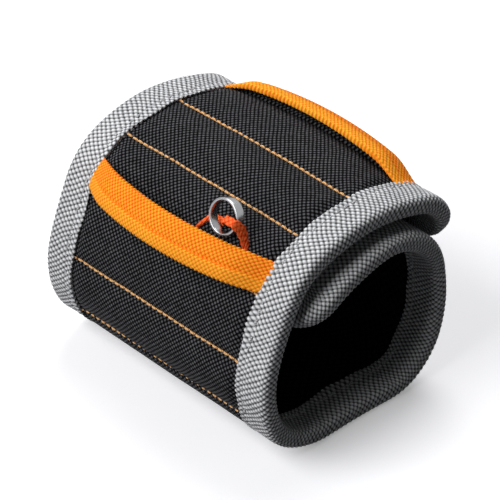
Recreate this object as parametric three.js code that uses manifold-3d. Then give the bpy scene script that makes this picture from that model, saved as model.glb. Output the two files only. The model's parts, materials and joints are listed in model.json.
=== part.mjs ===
// Magnetic wristband, closed into a standing loop with its flap laid over its tongue.
// The band is drawn flat: "along" runs from the flap end to the tongue tip, x runs across the
// band and n runs outwards through its layers. One bend map then curls every layer into the loop.
import * as THREE from "three";
import { mergeVertices } from "three/addons/utils/BufferGeometryUtils.js";
import Module from "manifold-3d";

const wasm = await Module();
wasm.setup();

// Driving dimensions in millimetres
const bandWidth = 90;
const coverThickness = 0.9;
const paddingThickness = 2.6;
const liningThickness = 0.9;
const fitGap = 0.3;
const tapeThickness = 0.8;
const tapeWidth = 11.5;
const edgePinch = 0.7;
const rampWidth = 2.5;
const pocketPitch = 20;
const stitchDip = 0.6;
const pocketCrown = 0.4;
const endCornerRadius = 14;
const tongueSkew = 5;
const hingeGap = 0.4;
const magnetDiameter = 12;
const magnetThickness = 2;
const magnetSpacing = 22;
const webbingWidth = 8.8;
const webbingThickness = 1.4;
const webbingCrown = 0.6;
const topLoopInset = 1.5;
const topLoopBow = 4;
const frontLoopOffset = 14.1;
const frontLoopBow = 5;
const frontLoopSag = 3;
const ringDiameter = 10.5;
const ringWall = 0.8;
const ringDepth = 3;
const ringTilt = THREE.MathUtils.degToRad(35);
const ringX = 16;
const ringOffset = 7;
const keeperWidth = 1.8;
const keeperThickness = 0.9;
const keeperCrown = 0.15;
const keeperReach = 12;
const keeperTurn = 9;
const keeperDive = 4.5;
const patchThickness = 1.2;
const patchWidth = 62;
const patchMargin = 2;

// How finely curves are drawn, in millimetres, degrees or sides
const stepLength = 3.4;
const keeperStep = 1.3;
const webbingSteps = 18;
const cornerStep = 18;
const layerCornerAngles = [0, 25, 45, 62, 76];
const straightLegPieces = 1;
const curledLegPieces = 3;
const ringSides = 28;
const discSides = 18;
const weldDistance = 1e-4;

// Lengths of the stretches that lie outside the pockets
const flapLip = 10;
const flapCurl = 15;
const heelCurve = 12;
const heelRun = 15;
const floorRun = 24;
const backCurve = 26;
const backRise = 20;
const backTop = 24;
const tongueCurl = 15;
const tongueRun = 24;
const tongueTip = 12;

// Stretches of the band from the flap end, with how far each one turns in the closed loop
const stretches = [
  { body: "flap", length: flapLip, turn: -1 },
  { body: "flap", length: flapCurl, turn: 54 },
  { body: "flap", length: pocketPitch, turn: 16 },
  { body: "flap", length: pocketPitch, turn: 24 },
  { body: "upper", length: pocketPitch, turn: 42 },
  { body: "middle", length: pocketPitch, turn: 14 },
  { body: "lower", length: pocketPitch, turn: 40 },
  { body: "base", length: heelCurve, turn: 34 },
  { body: "base", length: heelRun, turn: 30 },
  { body: "base", length: floorRun, turn: 0 },
  { body: "base", length: backCurve, turn: 74 },
  { body: "back", length: backRise, turn: 25 },
  { body: "back", length: backTop, turn: 52 },
  { body: "back", length: tongueCurl, turn: 32 },
  { body: "back", length: tongueRun, turn: 28 },
  { body: "back", length: tongueTip, turn: 32 },
];
const floorStretch = 9;
const tongueStretch = 12;

// Levels through the layers, measured outwards from the cover's face
const bandThickness = coverThickness + paddingThickness + liningThickness + 2 * fitGap;
const coverBottom = -coverThickness;
const paddingTop = coverBottom - fitGap;
const paddingBottom = paddingTop - paddingThickness;
const liningTop = paddingBottom - fitGap;
const tapeTop = -edgePinch + fitGap + tapeThickness;
const tapeBottom = -bandThickness - tapeTop;
const halfBand = bandWidth / 2;
const sandwichInset = tapeThickness + 2 * fitGap;
const tapeReach = tapeWidth - sandwichInset + fitGap;

function startOf(index) {
  return stretches.slice(0, index).reduce((sum, stretch) => sum + stretch.length, 0);
}

const bandLength = startOf(stretches.length);
const firstStitch = flapLip + flapCurl;
const lastStitch = spanOf("base").from;
const upperStart = spanOf("upper").from;
const tongueStart = startOf(tongueStretch);

function spanOf(body) {
  const first = stretches.findIndex((stretch) => stretch.body === body);
  const count = stretches.filter((stretch) => stretch.body === body).length;
  return { from: startOf(first), to: startOf(first + count) };
}

// Point and heading on the curled band's face after a given length
function pathFrame(along) {
  const before = stretches.slice(0, floorStretch).reduce((sum, stretch) => sum + stretch.turn, 0);
  const frame = { y: 0, z: 0, heading: THREE.MathUtils.degToRad(360 - before) };
  let left = along;
  for (const stretch of stretches) {
    const run = Math.min(left, stretch.length);
    const angle = THREE.MathUtils.degToRad(stretch.turn) * (run / stretch.length);
    const chord = angle === 0 ? run : (2 * run * Math.sin(angle / 2)) / angle;
    frame.y += chord * Math.cos(frame.heading + angle / 2);
    frame.z += chord * Math.sin(frame.heading + angle / 2);
    frame.heading += angle;
    left -= run;
    if (left <= 0) break;
  }
  return frame;
}

// The bend map from the flat band to the loop; the tongue drifts sideways as it is wrapped
function place(along, x, n) {
  const frame = pathFrame(along);
  const drift = (tongueSkew * Math.max(0, along - tongueStart)) / (bandLength - tongueStart);
  const y = frame.y + n * Math.sin(frame.heading);
  const z = frame.z - n * Math.cos(frame.heading);
  return new THREE.Vector3(x + drift, y, z);
}

// Closed solid through a row of rings that each hold the same number of points
function loft(rings, capShape) {
  const size = rings[0].length;
  const positions = rings.flat().flatMap((point) => [point.x, point.y, point.z]);
  const faces = [];
  for (let row = 0; row + 1 < rings.length; row += 1) {
    for (let k = 0; k < size; k += 1) {
      const a = row * size + k;
      const b = row * size + ((k + 1) % size);
      faces.push(a, b, b + size, a, b + size, a + size);
    }
  }
  const last = (rings.length - 1) * size;
  for (const [a, b, c] of THREE.ShapeUtils.triangulateShape(capShape, [])) {
    faces.push(c, b, a);
    faces.push(last + a, last + b, last + c);
  }
  const geometry = new THREE.BufferGeometry();
  geometry.setAttribute("position", new THREE.Float32BufferAttribute(positions, 3));
  geometry.setIndex(faces);
  return geometry;
}

function flatPoint(x, n) {
  return new THREE.Vector2(x, n);
}

// Even steps between two lengths, both included
function steps(from, to, size) {
  const count = Math.max(1, Math.ceil((to - from) / size));
  return Array.from({ length: count + 1 }, (_, k) => from + ((to - from) * k) / count);
}

// Quilting: sewn lines pull the cover in, and each pocket swells between them
function quilt(along) {
  if (along <= firstStitch || along >= lastStitch) return 0;
  const phase = (Math.PI * (along - firstStitch)) / pocketPitch;
  return -stitchDip + (stitchDip + pocketCrown) * Math.abs(Math.sin(phase));
}

function freeEnd(body) {
  if (body === "flap") return 0;
  return body === "back" ? bandLength : null;
}

function endDistance(body, along) {
  const end = freeEnd(body);
  return end === null ? Infinity : Math.abs(along - end);
}

// Half width of the layers at a given length, with the rounded corners of a free end
function halfWidth(body, along) {
  const radius = endCornerRadius - sandwichInset;
  const inCorner = radius - (endDistance(body, along) - sandwichInset);
  const full = halfBand - sandwichInset;
  if (inCorner <= 0) return full;
  return full - radius + Math.sqrt(Math.max(0, radius * radius - inCorner * inCorner));
}

// Lengths at which a body's layers are drawn, closer together on a rounded corner
function layerSteps(body) {
  const { from, to } = spanOf(body);
  const radius = endCornerRadius - sandwichInset;
  const corner = layerCornerAngles.map((degrees) => {
    return sandwichInset + radius * (1 - Math.cos(THREE.MathUtils.degToRad(degrees)));
  });
  const past = sandwichInset + radius;
  if (body === "flap") return [...corner, ...steps(past, to - hingeGap / 2, stepLength)];
  if (body === "back") {
    const tip = corner.map((distance) => bandLength - distance).reverse();
    return [...steps(from + hingeGap / 2, bandLength - past, stepLength), ...tip];
  }
  return steps(from + hingeGap / 2, to - hingeGap / 2, stepLength);
}

// Share of the full swell that remains next to a taped free end
function endSwell(body, along) {
  const beyond = endDistance(body, along) - tapeWidth - fitGap;
  return THREE.MathUtils.clamp(beyond / rampWidth, 0, 1);
}

// Layer between two levels, drawn in under the edge tape on the faces that meet it
function layer(body, top, bottom, swellTop, swellBottom) {
  const rings = [];
  const sections = [];
  for (const along of layerSteps(body)) {
    const edge = halfWidth(body, along);
    const swell = endSwell(body, along);
    const tip = edge - tapeReach;
    const flat = tip - rampWidth;
    const high = top + swellTop * (-edgePinch + swell * (edgePinch + quilt(along)));
    const low = bottom + swellBottom * (-edgePinch + swell * (edgePinch + quilt(along)));
    const lowEdge = bottom - swellBottom * edgePinch;
    const highEdge = top - swellTop * edgePinch;
    const section = [
      flatPoint(-edge, lowEdge),
      flatPoint(-tip, lowEdge),
      flatPoint(-flat, low),
      flatPoint(flat, low),
      flatPoint(tip, lowEdge),
      flatPoint(edge, lowEdge),
      flatPoint(edge, highEdge),
      flatPoint(tip, highEdge),
      flatPoint(flat, high),
      flatPoint(-flat, high),
      flatPoint(-tip, highEdge),
      flatPoint(-edge, highEdge),
    ];
    sections.push(section);
    rings.push(section.map((point) => place(along, point.x, point.y)));
  }
  return loft(rings, sections[0]);
}

// Folded edge tape: one leg on the cover, one on the lining, joined by a rounded fold.
// The legs are cut into more pieces where the tape also turns round a curled end.
function tapeSection(pieces) {
  const wall = tapeThickness + fitGap;
  const fold = 2 * tapeThickness;
  const corner = fold * (1 - Math.SQRT1_2);
  const outward = steps(fold, tapeWidth, (tapeWidth - fold) / pieces);
  const inward = [wall, ...outward.slice(1)];
  return [
    ...[...inward].reverse().map((a) => flatPoint(a, tapeBottom + tapeThickness)),
    ...inward.map((a) => flatPoint(a, tapeTop - tapeThickness)),
    ...[...outward].reverse().map((a) => flatPoint(a, tapeTop)),
    flatPoint(corner, tapeTop - corner),
    flatPoint(0, tapeTop - fold),
    flatPoint(0, tapeBottom + fold),
    flatPoint(corner, tapeBottom + corner),
    ...outward.map((a) => flatPoint(a, tapeBottom)),
  ];
}

// Straight edge at one side of the band; the band lies to the left of the way it runs
function straightEdge(side, lengths) {
  const ordered = side > 0 ? [...lengths].reverse() : lengths;
  return ordered.map((along) => ({ along, x: side * halfBand, inAlong: 0, inX: -side }));
}

// Quarter turn of the edge round a free end's corner
function cornerEdge(centreAlong, centreX, firstDegrees) {
  return steps(firstDegrees, firstDegrees + 90, cornerStep).map((degrees) => {
    const angle = THREE.MathUtils.degToRad(degrees);
    return {
      along: centreAlong + endCornerRadius * Math.cos(angle),
      x: centreX + endCornerRadius * Math.sin(angle),
      inAlong: -Math.cos(angle),
      inX: -Math.sin(angle),
    };
  });
}

function flapEdge() {
  const lengths = steps(endCornerRadius, spanOf("flap").to - hingeGap / 2, stepLength);
  const centre = halfBand - endCornerRadius;
  return [
    ...straightEdge(1, lengths.slice(1)),
    ...cornerEdge(endCornerRadius, centre, 90),
    ...cornerEdge(endCornerRadius, -centre, 180),
    ...straightEdge(-1, lengths.slice(1)),
  ];
}

function tongueEdge() {
  const turn = bandLength - endCornerRadius;
  const lengths = steps(spanOf("back").from + hingeGap / 2, turn, stepLength);
  const centre = halfBand - endCornerRadius;
  return [
    ...straightEdge(-1, lengths.slice(0, -1)),
    ...cornerEdge(turn, -centre, 270),
    ...cornerEdge(turn, centre, 0),
    ...straightEdge(1, lengths.slice(0, -1)),
  ];
}

function tape(edge, pieces) {
  const section = tapeSection(pieces);
  const rings = edge.map((spot) => section.map((point) => {
    return place(spot.along + point.x * spot.inAlong, spot.x + point.x * spot.inX, point.y);
  }));
  return loft(rings, section);
}

// Flat patch that follows the band between two lengths
function patch(from, to, bottom) {
  const half = patchWidth / 2;
  const section = [
    flatPoint(-half, bottom),
    flatPoint(half, bottom),
    flatPoint(half, bottom + patchThickness),
    flatPoint(-half, bottom + patchThickness),
  ];
  const rings = steps(from, to, stepLength).map((along) => {
    return section.map((point) => place(along, point.x, point.y));
  });
  return loft(rings, section);
}

// Strip that crosses the band; each ring is drawn at the strip's own height and drift
function crossStrip(places, width, thickness, crown) {
  const section = [
    flatPoint(0, -width / 2),
    flatPoint(thickness, -width / 2),
    flatPoint(thickness + crown, 0),
    flatPoint(thickness, width / 2),
    flatPoint(0, width / 2),
    flatPoint(crown, 0),
  ];
  const rings = places.map(({ x, along, n }) => {
    return section.map((point) => place(along + point.y, x, n + point.x));
  });
  return loft(rings, section);
}

// Webbing loop: held beside the tapes at both ends, bowed off the cover between them
function webbingLoop(centre, bow, sag) {
  const reach = halfBand - tapeWidth - fitGap;
  const foot = pocketCrown + fitGap;
  const places = steps(-reach, reach, (2 * reach) / webbingSteps).map((x) => {
    const rise = 1 - (x / reach) ** 2;
    return { x, along: centre + sag * rise, n: foot + bow * rise };
  });
  return crossStrip(places, webbingWidth, webbingThickness, webbingCrown);
}

// The ring leans with its lower rim just clear of the cover
const ringAlong = upperStart + ringOffset;
const rimReach = (ringDepth / 2) * Math.cos(ringTilt);
const ringHeight = pocketCrown + 2 * fitGap + (ringDiameter / 2) * Math.sin(ringTilt) + rimReach;

// The keeper starts under the ring's lower rim, crosses its hole and ends over its upper rim
const rimGap = ringDepth / 2 + fitGap;
const keeperLow = pocketCrown + fitGap;
const keeperTop = keeperLow + keeperThickness + keeperCrown;
const keeperEdge = ((ringHeight - keeperTop) * Math.cos(ringTilt) - rimGap) / Math.sin(ringTilt);
const keeperShift = keeperEdge - keeperWidth / 2;
const overRim = rimGap / Math.cos(ringTilt) - (keeperShift - keeperWidth / 2) * Math.tan(ringTilt);
const keeperHigh = ringHeight + overRim;

function keeperHeight(offset) {
  const quarter = ringDiameter / 4;
  const passed = ringDiameter / 2 + fitGap;
  const landed = keeperReach - keeperWidth / 2;
  const rise = THREE.MathUtils.smoothstep(offset, -quarter, quarter);
  const fall = THREE.MathUtils.smoothstep(offset, passed, landed);
  return keeperLow + (keeperHigh - keeperLow) * (rise - fall);
}

// Both ends of the keeper dive under the front webbing loop
function keeper() {
  const places = steps(-keeperReach, keeperReach, keeperStep).map((offset) => {
    const dive = THREE.MathUtils.smoothstep(Math.abs(offset), keeperTurn, keeperReach);
    const along = ringAlong + keeperShift + keeperDive * dive;
    return { x: ringX + offset, along, n: keeperHeight(offset) };
  });
  return crossStrip(places, keeperWidth, keeperThickness, keeperCrown);
}

// Short steel ring of flat strip, leaning over the keeper
function ring() {
  const outer = ringDiameter / 2;
  const inner = outer - ringWall;
  const half = ringDepth / 2;
  const bevel = ringWall / 4;
  const profile = [
    new THREE.Vector2(inner, -half + bevel),
    new THREE.Vector2(inner + bevel, -half),
    new THREE.Vector2(outer - bevel, -half),
    new THREE.Vector2(outer, -half + bevel),
    new THREE.Vector2(outer, half - bevel),
    new THREE.Vector2(outer - bevel, half),
    new THREE.Vector2(inner + bevel, half),
    new THREE.Vector2(inner, half - bevel),
    new THREE.Vector2(inner, -half + bevel),
  ];
  const geometry = new THREE.LatheGeometry(profile, ringSides);
  const tilt = pathFrame(ringAlong).heading + ringTilt;
  const axis = new THREE.Vector3(0, Math.sin(tilt), -Math.cos(tilt));
  return stand(geometry, place(ringAlong, ringX, ringHeight), axis);
}

// Turns a solid of revolution so its own axis follows the given direction at the given point
function stand(geometry, point, axis) {
  const across = new THREE.Vector3(1, 0, 0);
  const turn = new THREE.Matrix4().makeBasis(across, axis, across.clone().cross(axis));
  return geometry.applyMatrix4(turn.setPosition(point));
}

const magnetLevel = (paddingTop + paddingBottom) / 2 - fitGap / 2;

// Cylinder standing through the band in one of its pockets
function pocketDisc(along, x, diameter, thickness) {
  const radius = diameter / 2;
  const geometry = new THREE.CylinderGeometry(radius, radius, thickness, discSides);
  const { heading } = pathFrame(along);
  const axis = new THREE.Vector3(0, Math.sin(heading), -Math.cos(heading));
  return stand(geometry, place(along, x, magnetLevel), axis);
}

// Middles of the sewn pockets that belong to a body, each with three magnets across the band
function magnetSpots(body) {
  const { from, to } = spanOf(body);
  const spots = [];
  for (let start = firstStitch; start < lastStitch; start += pocketPitch) {
    const along = start + pocketPitch / 2;
    if (along < from || along > to) continue;
    for (const column of [-1, 0, 1]) spots.push({ along, x: column * magnetSpacing });
  }
  return spots;
}

function toManifold(geometry) {
  const bare = geometry.clone().deleteAttribute("normal").deleteAttribute("uv");
  const merged = mergeVertices(bare, weldDistance);
  return new wasm.Manifold(new wasm.Mesh({
    numProp: 3,
    vertProperties: merged.attributes.position.array,
    triVerts: new Uint32Array(merged.index.array),
  }));
}

function fromManifold(solid) {
  const result = solid.getMesh();
  const geometry = new THREE.BufferGeometry();
  geometry.setAttribute("position", new THREE.BufferAttribute(result.vertProperties, 3));
  geometry.setIndex(new THREE.BufferAttribute(result.triVerts, 1));
  return geometry;
}

// Padding with a round pocket cut through it for every magnet
function padding(body) {
  let solid = toManifold(layer(body, paddingTop, paddingBottom, 1, -1));
  for (const { along, x } of magnetSpots(body)) {
    const hole = pocketDisc(along, x, magnetDiameter + 2 * fitGap, 4 * paddingThickness);
    solid = solid.subtract(toManifold(hole));
  }
  return fromManifold(solid);
}

function material(color, roughness, metalness) {
  return new THREE.MeshStandardMaterial({ color, roughness, metalness });
}

const blackNylon = material(0x18181a, 0.9, 0);
const greyTape = material(0x8d9094, 0.95, 0);
const orangeWebbing = material(0xff8c1a, 0.85, 0);
const foam = material(0x3a3a3c, 1, 0);
const blackLining = material(0x101012, 1, 0);
const steel = material(0xc8cace, 0.25, 1);
const magnetPlate = material(0xb4b6b8, 0.3, 1);
const hookAndLoop = material(0x1c1c1e, 1, 0);

const band = new THREE.Group();

function add(name, geometry, look) {
  geometry.computeVertexNormals();
  const piece = new THREE.Mesh(geometry, look);
  piece.name = name;
  band.add(piece);
}

for (const body of ["flap", "upper", "middle", "lower", "base", "back"]) {
  add(`${body}_cover`, layer(body, 0, coverBottom, 1, 1), blackNylon);
  add(`${body}_padding`, padding(body), foam);
  add(`${body}_lining`, layer(body, liningTop, -bandThickness, -1, -1), blackLining);
  magnetSpots(body).forEach(({ along, x }, index) => {
    const disc = pocketDisc(along, x, magnetDiameter, magnetThickness);
    add(`${body}_magnet_${index + 1}`, disc, magnetPlate);
  });
}
for (const body of ["upper", "middle", "lower", "base"]) {
  const lengths = layerSteps(body);
  add(`${body}_tape_near`, tape(straightEdge(1, lengths), straightLegPieces), greyTape);
  add(`${body}_tape_far`, tape(straightEdge(-1, lengths), straightLegPieces), greyTape);
}
add("flap_tape", tape(flapEdge(), curledLegPieces), greyTape);
add("tongue_tape", tape(tongueEdge(), curledLegPieces), greyTape);

const topLoopCentre = firstStitch - topLoopInset;
const frontLoopCentre = upperStart + frontLoopOffset;
add("top_webbing_loop", webbingLoop(topLoopCentre, topLoopBow, 0), orangeWebbing);
add("front_webbing_loop", webbingLoop(frontLoopCentre, frontLoopBow, frontLoopSag), orangeWebbing);
add("ring_keeper", keeper(), orangeWebbing);
add("ring", ring(), steel);

const hookStart = firstStitch + patchMargin;
const hookEnd = upperStart - patchMargin;
const hookBottom = -bandThickness - pocketCrown - fitGap - patchThickness;
add("hook_patch", patch(hookStart, hookEnd, hookBottom), hookAndLoop);
const loopStart = tongueStart + backTop + patchMargin;
const loopEnd = bandLength - tapeWidth - patchMargin;
add("loop_patch", patch(loopStart, loopEnd, fitGap), hookAndLoop);

// The part stands on its lowest faces, centred over the origin
const extent = new THREE.Box3().setFromObject(band, true);
const middle = extent.getCenter(new THREE.Vector3());
band.position.set(-middle.x, -middle.y, -extent.min.z);

export default band;
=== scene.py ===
"""Looks of a padded magnetic wristband that stands closed into a loop.

The band is described flat: "along" runs from the flap end to the tongue tip, "across" runs over its width
and "height" runs outwards from the cover's face. One bend map curls every piece into the loop.
"""

import json
import math
from collections import namedtuple

import bpy
import numpy as np
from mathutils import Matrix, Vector


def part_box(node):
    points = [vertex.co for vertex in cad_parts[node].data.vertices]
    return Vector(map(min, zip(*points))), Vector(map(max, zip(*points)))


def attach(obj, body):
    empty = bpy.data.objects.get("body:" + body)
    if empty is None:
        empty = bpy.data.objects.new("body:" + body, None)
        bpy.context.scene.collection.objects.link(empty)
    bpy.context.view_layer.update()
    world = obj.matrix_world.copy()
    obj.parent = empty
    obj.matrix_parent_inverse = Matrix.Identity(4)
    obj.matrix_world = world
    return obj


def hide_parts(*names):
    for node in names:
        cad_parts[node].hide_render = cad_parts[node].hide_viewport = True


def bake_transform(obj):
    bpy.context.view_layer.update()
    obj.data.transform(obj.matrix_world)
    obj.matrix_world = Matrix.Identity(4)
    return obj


bl_info = {
    "name": "Magnetic Wristband",
    "version": (1, 0, 0),
    "blender": (4, 5, 0),
    "location": "View3D > Sidebar > Wristband",
    "description": "Builds the sewn pieces and finishes of a magnetic wristband",
    "category": "Object",
}

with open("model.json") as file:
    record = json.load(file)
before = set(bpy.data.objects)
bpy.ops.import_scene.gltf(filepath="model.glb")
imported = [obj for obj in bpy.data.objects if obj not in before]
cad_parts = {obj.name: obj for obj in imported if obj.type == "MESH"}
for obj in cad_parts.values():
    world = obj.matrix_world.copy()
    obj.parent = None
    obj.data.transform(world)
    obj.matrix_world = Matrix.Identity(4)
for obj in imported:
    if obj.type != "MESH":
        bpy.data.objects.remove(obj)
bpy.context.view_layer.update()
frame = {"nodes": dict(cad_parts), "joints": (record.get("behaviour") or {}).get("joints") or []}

# Run of the band from the flap end: length in metres and turn in degrees of each stretch
STRETCHES = (
    (0.010, -1), (0.015, 54), (0.020, 16), (0.020, 24), (0.020, 42), (0.020, 14),
    (0.020, 40), (0.012, 34), (0.015, 30), (0.024, 0), (0.026, 74), (0.020, 25),
    (0.024, 52), (0.015, 32), (0.024, 28), (0.012, 32),
)
POCKET_STRETCH = 2
POCKETS = 5
FLOOR_STRETCH = 9
BACK_STRETCH = 11
TONGUE_STRETCH = 12
LENGTHS = np.array([length for length, _ in STRETCHES])
TURNS = np.radians([turn for _, turn in STRETCHES])
STARTS = np.concatenate([[0.0], np.cumsum(LENGTHS)])[:-1]
BAND_LENGTH = float(LENGTHS.sum())
TONGUE_START = float(STARTS[TONGUE_STRETCH])
TONGUE_SKEW = 0.005

# Sewn lines across the band, and the reach over which it folds at one
SEWN_LINES = tuple(float(start) for start in STARTS[POCKET_STRETCH:POCKET_STRETCH + POCKETS + 1])
POCKET_PITCH = 0.020

# Layers of the band
BAND_WIDTH = 0.090
BAND_THICKNESS = 0.005
HINGE_HEIGHT = 0.0007
END_CORNER = 0.014
SANDWICH_INSET = 0.0014
EDGE_PINCH = 0.0007

# Folded edge tape: its two faces, its weave and how far its face rises, sinks and wavers
TAPE_TOP = 0.0004
TAPE_BOTTOM = -0.0054
TAPE_WALL = 0.0009
TAPE_LIP = 0.0003
TAPE_PITCH = (0.00085, 0.0011)
TAPE_STEP = 0.00034
TAPE_GRAIN = 0.0005
TAPE_SINK = 0.0006
TAPE_DEEPEST = -0.0008
TAPE_SLACK = 0.0003
TAPE_WAVER = 0.0009
TAPE_SWAY = 0.00045
SWAY_RATE = 0.55
SELVEDGE = 0.0018
SELVEDGE_RISE = 0.0002
SEAM_INSET = 0.0088
SEAM_DEPTH = 0.00042
SEAM_FURROW = 0.0002
FURROW_SPREAD = 0.0006

# Webbing loops: their places, their weave, and the hem along their lower part
TOP_LOOP = SEWN_LINES[0] - 0.0015
FRONT_LOOP = SEWN_LINES[2] + 0.0141
WEBBING_PITCH = (0.0006, 0.0007)
WEBBING_THICKNESS = 0.0014
WEBBING_GRAIN = 0.00016
WEBBING_CROWN = 0.0006
WEBBING_SUNK = 0.0006
WEBBING_CLEAR = 0.0008
WEBBING_SEWN_IN = 0.0015
EDGE_LOOP = 0.0003
HEM_PLACE = 0.0011
HEM_STEP = 0.0002
HEM_RISE = 0.0005
HEM_CREASE = 0.0004
HEM_CREASE_SPREAD = 0.0003
# Colour of the painted highlight screened over the webbing's hem
HEM_PAINTED_HIGHLIGHT = (0.35, 0.147, 0.0105)

# Steel ring and the keeper that is threaded through it
RING_ALONG = SEWN_LINES[2] + 0.007
RING_ACROSS = 0.016
RING_TILT = math.radians(35)
RING_CLEAR = 0.0010
KEEPER_GAP = 0.0003
KEEPER_WIDTH = 0.0018
KEEPER_LOW = 0.0007
KEEPER_THICKNESS = 0.0009
KEEPER_SLACK = 0.00015
KEEPER_MIDDLE = 0.0005
KEEPER_REACH = 0.0098
KEEPER_TURN = 0.0066
KEEPER_DIVE = 0.0045

# Hook and loop patches
PATCH_HALF = 0.031
PATCH_THICKNESS = 0.0012
PATCH_MARGIN = 0.002
PATCH_STEP = 0.0006
PATCH_BEVEL = 0.0004
PILE_RATE = 9

# Slow waves of the cloth: length, phase and height of each sine
RIPPLES = ((0.0061, 1.7, 1.0), (0.0027, 3.91, 0.6), (0.0113, 1.19, 0.9))

# Camera, and the place that it and the lamps are aimed at
CAMERA_AZIMUTH = math.radians(46.7)
CAMERA_ELEVATION = math.radians(35.0)
CAMERA_DISTANCE = 0.793
CAMERA_LENS = 205.0
LOOP_MIDDLE = (-0.0020, 0.0001, 0.0346)

# Stage: how pale the floor is where it is seen and where it throws light back
FLOOR_REACH = 4.0
FLOOR_SEEN = 0.95
FLOOR_UNSEEN = 0.12
FLOOR_GLOW = 0.30
WORLD_UNSEEN = 0.04
WHITE = (1.0, 1.0, 1.0, 1.0)

# Sockets of the colour mix node: share, first colour and second colour, and the mixed colour
MIX_INPUTS = (0, 6, 7)
MIX_RESULT = 2

# Sections of the loop: each one is drawn as one piece, with a fold in its middle
FLAP_END = SEWN_LINES[2] + POCKET_PITCH / 2
UPPER_END = SEWN_LINES[3] + POCKET_PITCH / 2
MIDDLE_END = SEWN_LINES[4] + POCKET_PITCH / 2
LOWER_END = float(STARTS[FLOOR_STRETCH] + LENGTHS[FLOOR_STRETCH] / 2)
BACK_FOLD = float(STARTS[BACK_STRETCH])
Section = namedtuple("Section", "name start end before after fold parts end_tape")
SECTIONS = (
    Section("flap", 0.0, FLAP_END, "flap", "upper", SEWN_LINES[2], ("flap",), "flap_tape"),
    Section("upper", FLAP_END, UPPER_END, "upper", "middle", SEWN_LINES[3], ("upper",), None),
    Section("middle", UPPER_END, MIDDLE_END, "middle", "lower", SEWN_LINES[4], ("middle",), None),
    Section("lower", MIDDLE_END, LOWER_END, "lower", "base", SEWN_LINES[5], ("lower", "base"), None),
    Section("back", LOWER_END, BAND_LENGTH, "base", "back", BACK_FOLD, ("back",), "tongue_tape"),
)


def columns(*arrays):
    """Arrays spread over each other and set side by side, as the numbers of each point."""
    return np.stack(np.broadcast_arrays(*arrays), axis=-1)


def arc_move(heading, run, turn):
    """Move along an arc: its chord is the run times sin(half turn) over half turn, and points half the turn
    past the heading."""
    chord = run * np.sinc(turn / (2 * math.pi))
    middle = heading + turn / 2
    return columns(chord * np.cos(middle), chord * np.sin(middle))


def stretch_starts():
    """Point and heading where each stretch begins: the sums of all moves and turns before it. The headings
    are set so that the stretch on the floor lies level."""
    headings = np.cumsum(TURNS) - TURNS - TURNS[:FLOOR_STRETCH].sum()
    moves = arc_move(headings, LENGTHS, TURNS)
    return np.cumsum(moves, axis=0) - moves, headings


START_POINTS, START_HEADINGS = stretch_starts()


def path(along):
    """Point and heading on the curled face: each place lies a part of the way along its stretch's arc."""
    along = np.asarray(along, float)
    index = np.clip(np.searchsorted(STARTS, along, side="right") - 1, 0, len(LENGTHS) - 1)
    run = along - STARTS[index]
    turn = TURNS[index] * run / LENGTHS[index]
    point = START_POINTS[index] + arc_move(START_HEADINGS[index], run, turn)
    return point[..., 0], point[..., 1], START_HEADINGS[index] + turn


def band_origin():
    """Where the flap end's middle stands in the frame, from the unwrap joint and the base's box."""
    hinge = next(joint for joint in frame["joints"] if joint["name"] == "unwrap")
    y, z, heading = path(SEWN_LINES[-1])
    low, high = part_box("base_cover")
    x = (low[0] + high[0]) / 2
    y = hinge["pos_m"][1] - y - HINGE_HEIGHT * math.sin(heading)
    z = hinge["pos_m"][2] - z + HINGE_HEIGHT * math.cos(heading)
    return np.array([x, float(y), float(z)])


ORIGIN = band_origin()


def place(along, across, height):
    """Bend map from the flat band to the loop; the tongue drifts sideways in proportion to its length."""
    along, across, height = np.broadcast_arrays(along, across, height)
    y, z, heading = path(along)
    drift = TONGUE_SKEW * np.maximum(0, along - TONGUE_START) / (BAND_LENGTH - TONGUE_START)
    return columns(across + drift, y + height * np.sin(heading), z - height * np.cos(heading)) + ORIGIN


def face_normal(along):
    """Unit vector out of the band's face at places along it, square to the heading there."""
    heading = path(along)[2]
    return columns(0.0, np.sin(heading), -np.cos(heading))


def steps(start, end, size):
    """Even steps from start to end, both included, none longer than size."""
    return np.linspace(start, end, max(2, int(math.ceil(abs(end - start) / size)) + 1))


def around(count):
    """Even angles round a full turn."""
    return np.linspace(0, 2 * np.pi, count, endpoint=False)


def smooth(value, low, high):
    """Smooth ramp from 0 at low to 1 at high."""
    share = np.clip((value - low) / (high - low), 0, 1)
    return share * share * (3 - 2 * share)


def bell(value, spread):
    """Bell curve: 1 at 0, falling off with the square of the value over the spread."""
    return np.exp(-(value / spread) ** 2)


def ripple(value, seed):
    """Slow uneven wave between about -1 and 1: three sines whose lengths share no common multiple."""
    waves = sum(height * np.sin(value / length + phase * seed) for length, phase, height in RIPPLES)
    return waves / sum(height for _, _, height in RIPPLES)


def weave(u, v, pitch_u, pitch_v):
    """Grains of a plain weave from 0 in the holes to 1 on the crowns. The crowns stand where both cell
    counts are even or both are odd; the height falls off with the squared distance to the nearest one."""
    away_u = np.abs((u / pitch_u + 1) % 2 - 1)
    away_v = np.abs((v / pitch_v + 1) % 2 - 1)
    even = away_u ** 2 + away_v ** 2
    odd = (1 - away_u) ** 2 + (1 - away_v) ** 2
    return 1 - np.minimum(even, odd)


def uneven_cloth(u, v, drift, spot=None):
    """Cloth place moved by slow slanting waves, so that rows of grains wander by up to the drift. The waves
    follow the place along the cloth, or another place where one is given."""
    spot = u if spot is None else spot
    drift_u = drift * ripple(1.9 * v + 0.8 * spot, seed=3.0)
    drift_v = drift * ripple(1.6 * spot - 0.9 * v, seed=5.0)
    return columns(u + drift_u, v + drift_v)


def run_length(points):
    """Length along a row of points at each of them, from the first one."""
    return np.concatenate([[0], np.cumsum(np.linalg.norm(np.diff(points, axis=0), axis=1))])


def points_at(points, length, at):
    """Points of a row at other lengths, worked out in straight lines between its own points."""
    return columns(*(np.interp(at, length, line) for line in points.T))


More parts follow.
